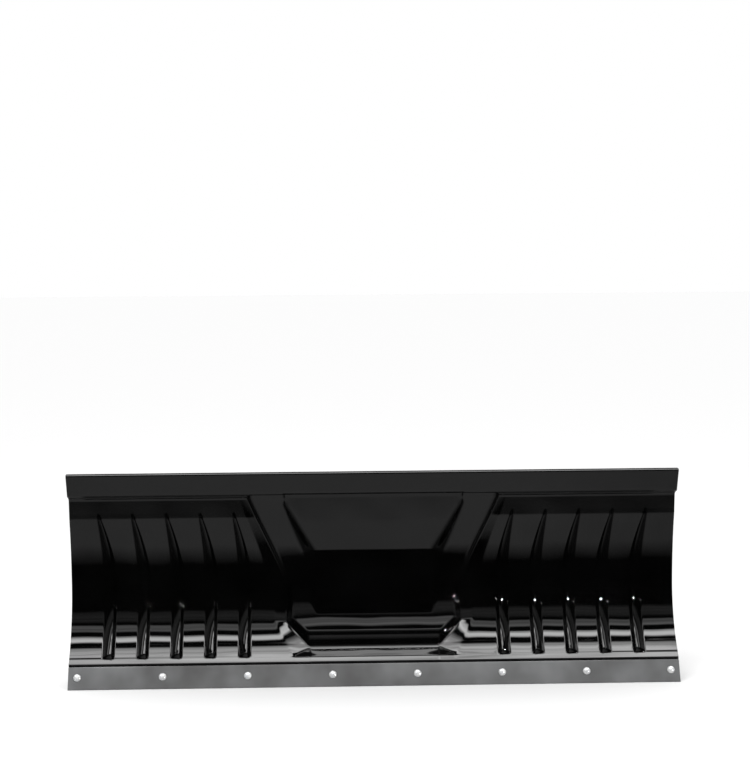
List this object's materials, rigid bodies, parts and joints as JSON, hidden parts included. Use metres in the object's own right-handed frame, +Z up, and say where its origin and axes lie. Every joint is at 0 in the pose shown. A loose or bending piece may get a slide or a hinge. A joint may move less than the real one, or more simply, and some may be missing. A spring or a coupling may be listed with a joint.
{
  "type": "atv plow blade",
  "caption": "Curved pressed-steel snow plow blade with bolted wear bar and skid shoes, on a spring-trip swivel push frame for an all-terrain vehicle.",
  "frame": {"origin": "on the ground, under the middle of the bounding box", "axes": "+X to the right as one faces the blade front, along its width; +Y from the blade towards the vehicle; +Z up"},
  "size_m": [1.32, 0.43, 0.46],
  "materials": {
    "black_enamel": "gloss black enamel",
    "frame_black": "satin black powder coat",
    "zinc_plate": "bright zinc plate",
    "spring_steel": "oiled spring steel",
    "cast_steel": "dark cast skid",
    "rubber": "moulded rubber",
    "bronze": "sintered bronze"
  },
  "bodies": {
    "push_head": {"pivot_barrel": "frame_black", "king_bush": "bronze", "king_bolt": "zinc_plate", "king_nut": "zinc_plate", "head_box": "frame_black", "rear_flange": "frame_black", "lock_bracket": "frame_black", "lock_spring": "spring_steel"},
    "swivel_frame": {"hinge_beam": "frame_black", "quadrant_plate": "frame_black", "lower_swivel_plate": "frame_black", "frame_cheek_left": "frame_black", "frame_cheek_right": "frame_black", "stop_pad_left": "rubber", "stop_pad_right": "rubber", "hinge_pin_left": "zinc_plate", "hinge_pin_right": "zinc_plate", "hinge_clip_left": "spring_steel", "hinge_clip_right": "spring_steel", "trip_spring_left": "spring_steel", "trip_spring_right": "spring_steel"},
    "blade": {"mouldboard": "black_enamel", "wear_bar": "black_enamel", "backing_bar": "frame_black", "wear_bolt_1": "zinc_plate", "wear_bolt_2": "zinc_plate", "wear_bolt_3": "zinc_plate", "wear_bolt_4": "zinc_plate", "wear_bolt_5": "zinc_plate", "wear_bolt_6": "zinc_plate", "wear_bolt_7": "zinc_plate", "wear_bolt_8": "zinc_plate", "wear_nut_1": "zinc_plate", "wear_nut_2": "zinc_plate", "wear_nut_3": "zinc_plate", "wear_nut_4": "zinc_plate", "wear_nut_5": "zinc_plate", "wear_nut_6": "zinc_plate", "wear_nut_7": "zinc_plate", "wear_nut_8": "zinc_plate", "hinge_rib_left": "frame_black", "hinge_rib_right": "frame_black", "outer_rib_left": "frame_black", "outer_rib_right": "frame_black", "skid_sleeve_left": "frame_black", "skid_sleeve_right": "frame_black", "spring_anchor_bar": "frame_black", "spring_eye_bolt_left": "zinc_plate", "spring_eye_bolt_right": "zinc_plate", "spring_eye_nut_left": "zinc_plate", "spring_eye_nut_right": "zinc_plate"},
    "skid_left": {"skid_shoe_left": "cast_steel", "skid_post_left": "zinc_plate", "skid_spacer_left": "zinc_plate", "skid_linch_pin_left": "zinc_plate"},
    "skid_right": {"skid_shoe_right": "cast_steel", "skid_post_right": "zinc_plate", "skid_spacer_right": "zinc_plate", "skid_linch_pin_right": "zinc_plate"},
    "lock_pin": {"lock_pin": "zinc_plate"}
  },
  "joints": [
    {"name": "blade_angle", "type": "hinge", "parent": "push_head", "child": "swivel_frame", "pos_m": [0, 0.04, 0.094], "axis": [0, 0, 1], "range_deg": [-30, 30]},
    {"name": "blade_trip", "type": "hinge", "parent": "swivel_frame", "child": "blade", "pos_m": [0, -0.12, 0.072], "axis": [1, 0, 0], "range_deg": [0, 25], "stiffness_Nm_per_rad": 400, "springref_deg": -11.46, "deforming": ["trip_spring_left", "trip_spring_right"]},
    {"name": "skid_left_spin", "type": "hinge", "parent": "blade", "child": "skid_left", "pos_m": [-0.471, -0.065, 0.1], "axis": [0, 0, 1], "continuous": true},
    {"name": "skid_right_spin", "type": "hinge", "parent": "blade", "child": "skid_right", "pos_m": [0.471, -0.065, 0.1], "axis": [0, 0, 1], "continuous": true},
    {"name": "lock_pin_lift", "type": "slide", "parent": "push_head", "child": "lock_pin", "axis": [0, 0, 1], "range_m": [-0.026, 0], "deforming": ["lock_spring"]}
  ]
}
